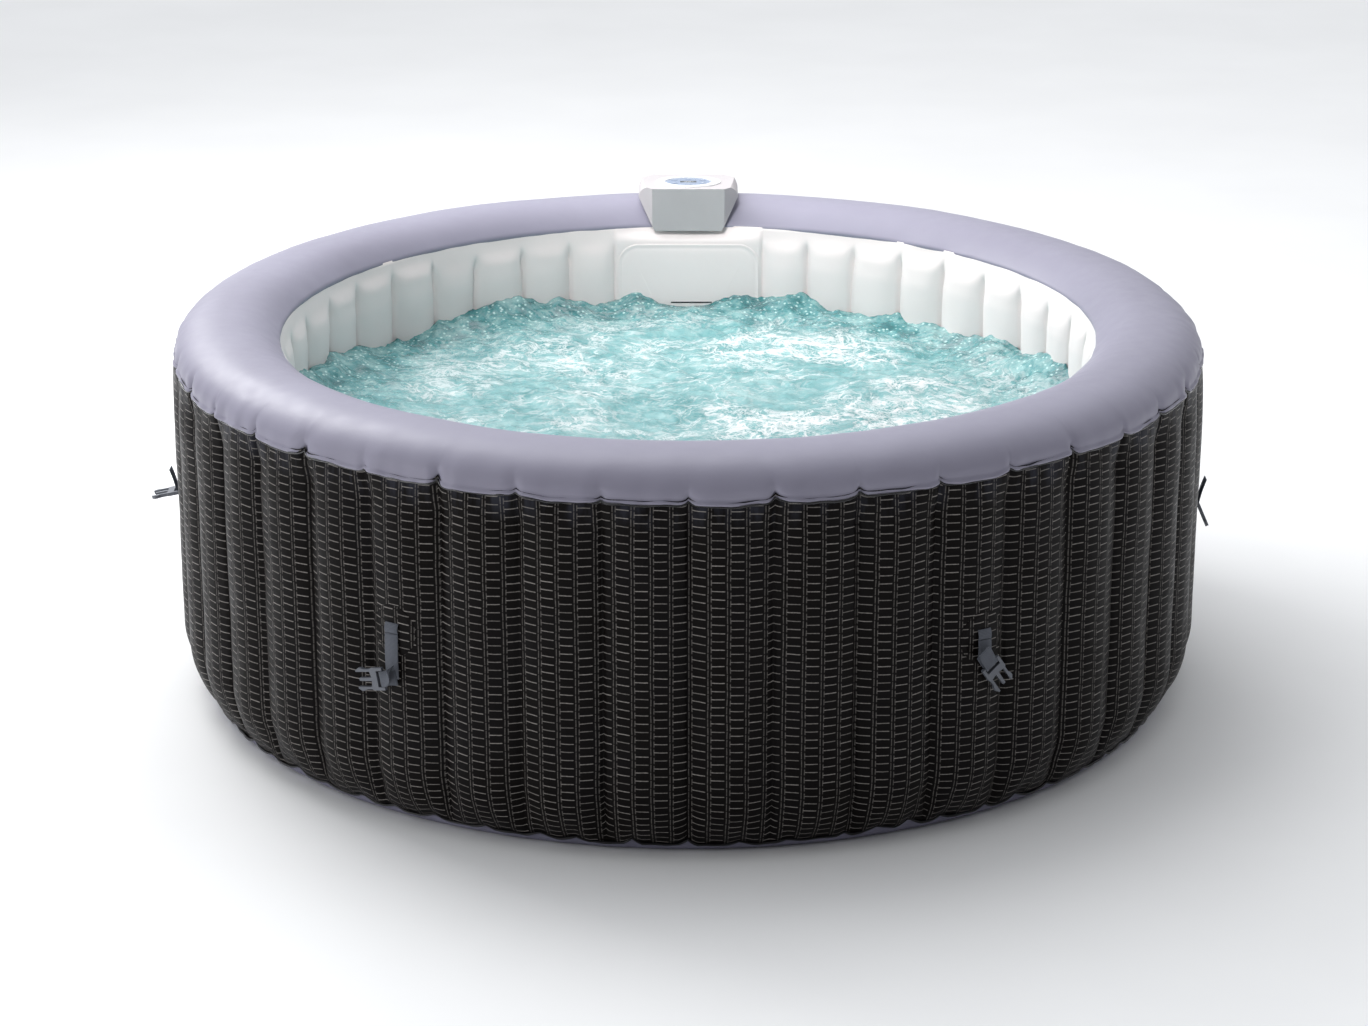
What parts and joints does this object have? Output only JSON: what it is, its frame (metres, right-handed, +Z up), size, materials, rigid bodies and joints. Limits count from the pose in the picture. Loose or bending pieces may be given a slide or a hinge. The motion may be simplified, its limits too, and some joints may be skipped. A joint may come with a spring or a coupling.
{
  "type": "inflatable hot tub",
  "caption": "Round inflatable hot tub with welded skins, cover straps and a control pod over a built-in pump, heater and blower unit.",
  "frame": {"origin": "centre of the base sheet's underside, on the floor", "axes": "+Z up; +Y towards the control pod at the back; -Y is the front; +X to the right seen from the front"},
  "size_m": [1.8803, 1.8088, 0.6941],
  "materials": {
    "rattan_skin": "printed vinyl with a rattan pattern, satin",
    "liner_skin": "white vinyl, satin",
    "rim_skin": "lavender grey vinyl, satin",
    "base_skin": "grey vinyl, satin",
    "web_skin": "vinyl sheet",
    "webbing": "woven polypropylene webbing",
    "buckle_plastic": "moulded acetal",
    "pod_plastic": "fine moulded texture",
    "bezel_plastic": "polished",
    "dial_print": "printed film",
    "lens_plastic": "smoked window",
    "board_laminate": "circuit board",
    "case_plastic": "moulded",
    "cover_plastic": "moulded",
    "screw_steel": "zinc plated",
    "gland_plastic": "moulded",
    "motor_metal": "satin",
    "impeller_plastic": "moulded",
    "heater_steel": "brushed",
    "pipe_plastic": "moulded",
    "hose_rubber": "satin",
    "filter_paper": "pleated filter paper",
    "seal_rubber": "matte"
  },
  "bodies": {
    "root": {"air_hose": "hose_rubber", "base_sheet": "base_skin", "blower_housing": "case_plastic", "blower_motor": "motor_metal", "bubble_channel": "liner_skin", "case_front": "case_plastic", "case_rear": "case_plastic", "check_valve": "pipe_plastic", "cord_gland": "gland_plastic", "cover_screws": "screw_steel", "display_lens": "lens_plastic", "drain_fitting": "gland_plastic", "equipment_panel": "liner_skin", "filter_base": "pipe_plastic", "floor_liner": "liner_skin", "heater_tube": "heater_steel", "inflation_valve": "gland_plastic", "inner_wall": "liner_skin", "main_board": "board_laminate", "outer_wall": "rattan_skin", "outlet_grille": "pipe_plastic", "panel_bezel": "bezel_plastic", "panel_board": "board_laminate", "panel_overlay": "dial_print", "pod_base": "pod_plastic", "pod_neck": "case_plastic", "pod_seal": "seal_rubber", "pod_shell": "pod_plastic", "pump_motor": "motor_metal", "pump_volute": "case_plastic", "rear_cover": "cover_plastic", "return_pipe": "pipe_plastic", "rim_top": "rim_skin", "strap_patches": "rattan_skin", "wall_webs": "web_skin", "wire_loom": "seal_rubber"},
    "strap_front_left": {"strap_front_left": "webbing"},
    "buckle_front_left": {"buckle_front_left": "buckle_plastic"},
    "strap_front_right": {"strap_front_right": "webbing"},
    "buckle_front_right": {"buckle_front_right": "buckle_plastic"},
    "strap_left": {"strap_left": "webbing"},
    "buckle_left": {"buckle_left": "buckle_plastic"},
    "strap_right": {"strap_right": "webbing"},
    "buckle_right": {"buckle_right": "buckle_plastic"},
    "strap_back_left": {"strap_back_left": "webbing"},
    "buckle_back_left": {"buckle_back_left": "buckle_plastic"},
    "strap_back_right": {"strap_back_right": "webbing"},
    "buckle_back_right": {"buckle_back_right": "buckle_plastic"},
    "button_power": {"button_power": "dial_print"},
    "button_heat": {"button_heat": "dial_print"},
    "button_bubble": {"button_bubble": "dial_print"},
    "button_filter": {"button_filter": "dial_print"},
    "button_plus": {"button_plus": "dial_print"},
    "button_minus": {"button_minus": "dial_print"},
    "blower_rotor": {"blower_impeller": "impeller_plastic"},
    "pump_rotor": {"pump_impeller": "impeller_plastic"},
    "filter": {"filter_cap": "pipe_plastic", "filter_cartridge": "filter_paper"},
    "valve_cap": {"inflation_cap": "gland_plastic"},
    "drain_lid": {"drain_cap": "gland_plastic"}
  },
  "joints": [
    {"name": "strap_front_left_lift", "type": "hinge", "parent": "root", "child": "strap_front_left", "pos_m": [-0.46392, -0.77209, 0.338], "axis": [-0.8572, 0.515, 0], "range_deg": [0, 75]},
    {"name": "buckle_front_left_swing", "type": "hinge", "parent": "strap_front_left", "child": "buckle_front_left", "pos_m": [-0.48011, -0.76674, 0.25847], "axis": [-0.1782, 0.1071, 0.9781], "range_deg": [-2, 100]},
    {"name": "strap_front_right_lift", "type": "hinge", "parent": "root", "child": "strap_front_right", "pos_m": [0.46392, -0.77209, 0.328], "axis": [-0.8572, -0.515, 0], "range_deg": [0, 75]},
    {"name": "buckle_front_right_swing", "type": "hinge", "parent": "strap_front_right", "child": "buckle_front_right", "pos_m": [0.47442, -0.77016, 0.28425], "axis": [-0.6935, -0.4167, -0.5878], "range_deg": [-2, 100]},
    {"name": "strap_left_lift", "type": "hinge", "parent": "root", "child": "strap_left", "pos_m": [-0.90075, 0, 0.354], "axis": [0, 1, 0], "range_deg": [0, 75]},
    {"name": "buckle_left_swing", "type": "hinge", "parent": "strap_left", "child": "buckle_left", "pos_m": [-0.9045, 0, 0.313], "axis": [0, 1, 0], "range_deg": [-80, 22]},
    {"name": "strap_right_lift", "type": "hinge", "parent": "root", "child": "strap_right", "pos_m": [0.90075, 0, 0.354], "axis": [0, -1, 0], "range_deg": [0, 75]},
    {"name": "buckle_right_swing", "type": "hinge", "parent": "strap_right", "child": "buckle_right", "pos_m": [0.9045, 0, 0.295], "axis": [0, -1, 0], "range_deg": [-26, 76]},
    {"name": "strap_back_left_lift", "type": "hinge", "parent": "root", "child": "strap_back_left", "pos_m": [-0.45038, 0.78007, 0.347], "axis": [0.866, 0.5, 0], "range_deg": [0, 75]},
    {"name": "buckle_back_left_swing", "type": "hinge", "parent": "strap_back_left", "child": "buckle_back_left", "pos_m": [-0.45225, 0.78332, 0.283], "axis": [0.866, 0.5, 0], "range_deg": [-2, 100]},
    {"name": "strap_back_right_lift", "type": "hinge", "parent": "root", "child": "strap_back_right", "pos_m": [0.45038, 0.78007, 0.347], "axis": [0.866, -0.5, 0], "range_deg": [0, 75]},
    {"name": "buckle_back_right_swing", "type": "hinge", "parent": "strap_back_right", "child": "buckle_back_right", "pos_m": [0.45225, 0.78332, 0.283], "axis": [0.866, -0.5, 0], "range_deg": [-2, 100]},
    {"name": "button_power_press", "type": "slide", "parent": "root", "child": "button_power", "axis": [0, 0.0698, 0.9976], "range_m": [-0.001, 0], "stiffness_N_per_m": 400},
    {"name": "button_heat_press", "type": "slide", "parent": "root", "child": "button_heat", "axis": [0, 0.0698, 0.9976], "range_m": [-0.001, 0], "stiffness_N_per_m": 400},
    {"name": "button_bubble_press", "type": "slide", "parent": "root", "child": "button_bubble", "axis": [0, 0.0698, 0.9976], "range_m": [-0.001, 0], "stiffness_N_per_m": 400},
    {"name": "button_filter_press", "type": "slide", "parent": "root", "child": "button_filter", "axis": [0, 0.0698, 0.9976], "range_m": [-0.001, 0], "stiffness_N_per_m": 400},
    {"name": "button_plus_press", "type": "slide", "parent": "root", "child": "button_plus", "axis": [0, 0.0698, 0.9976], "range_m": [-0.001, 0], "stiffness_N_per_m": 400},
    {"name": "button_minus_press", "type": "slide", "parent": "root", "child": "button_minus", "axis": [0, 0.0698, 0.9976], "range_m": [-0.001, 0], "stiffness_N_per_m": 400},
    {"name": "blower_spin", "type": "hinge", "parent": "root", "child": "blower_rotor", "pos_m": [-0.045, 0.77, 0.41], "axis": [0, 1, 0], "continuous": true},
    {"name": "pump_spin", "type": "hinge", "parent": "root", "child": "pump_rotor", "pos_m": [-0.035, 0.77, 0.14], "axis": [0, 1, 0], "continuous": true},
    {"name": "filter_pull", "type": "slide", "parent": "root", "child": "filter", "axis": [0, -1, 0], "range_m": [0, 0.12]},
    {"name": "valve_cap_hinge", "type": "hinge", "parent": "root", "child": "valve_cap", "pos_m": [0.33458, 0.85249, 0.496], "axis": [0.9309, -0.3653, 0], "range_deg": [0, 150]},
    {"name": "drain_cap_off", "type": "slide", "parent": "root", "child": "drain_lid", "axis": [-0.8262, 0.5633, 0], "range_m": [0, 0.15]}
  ]
}
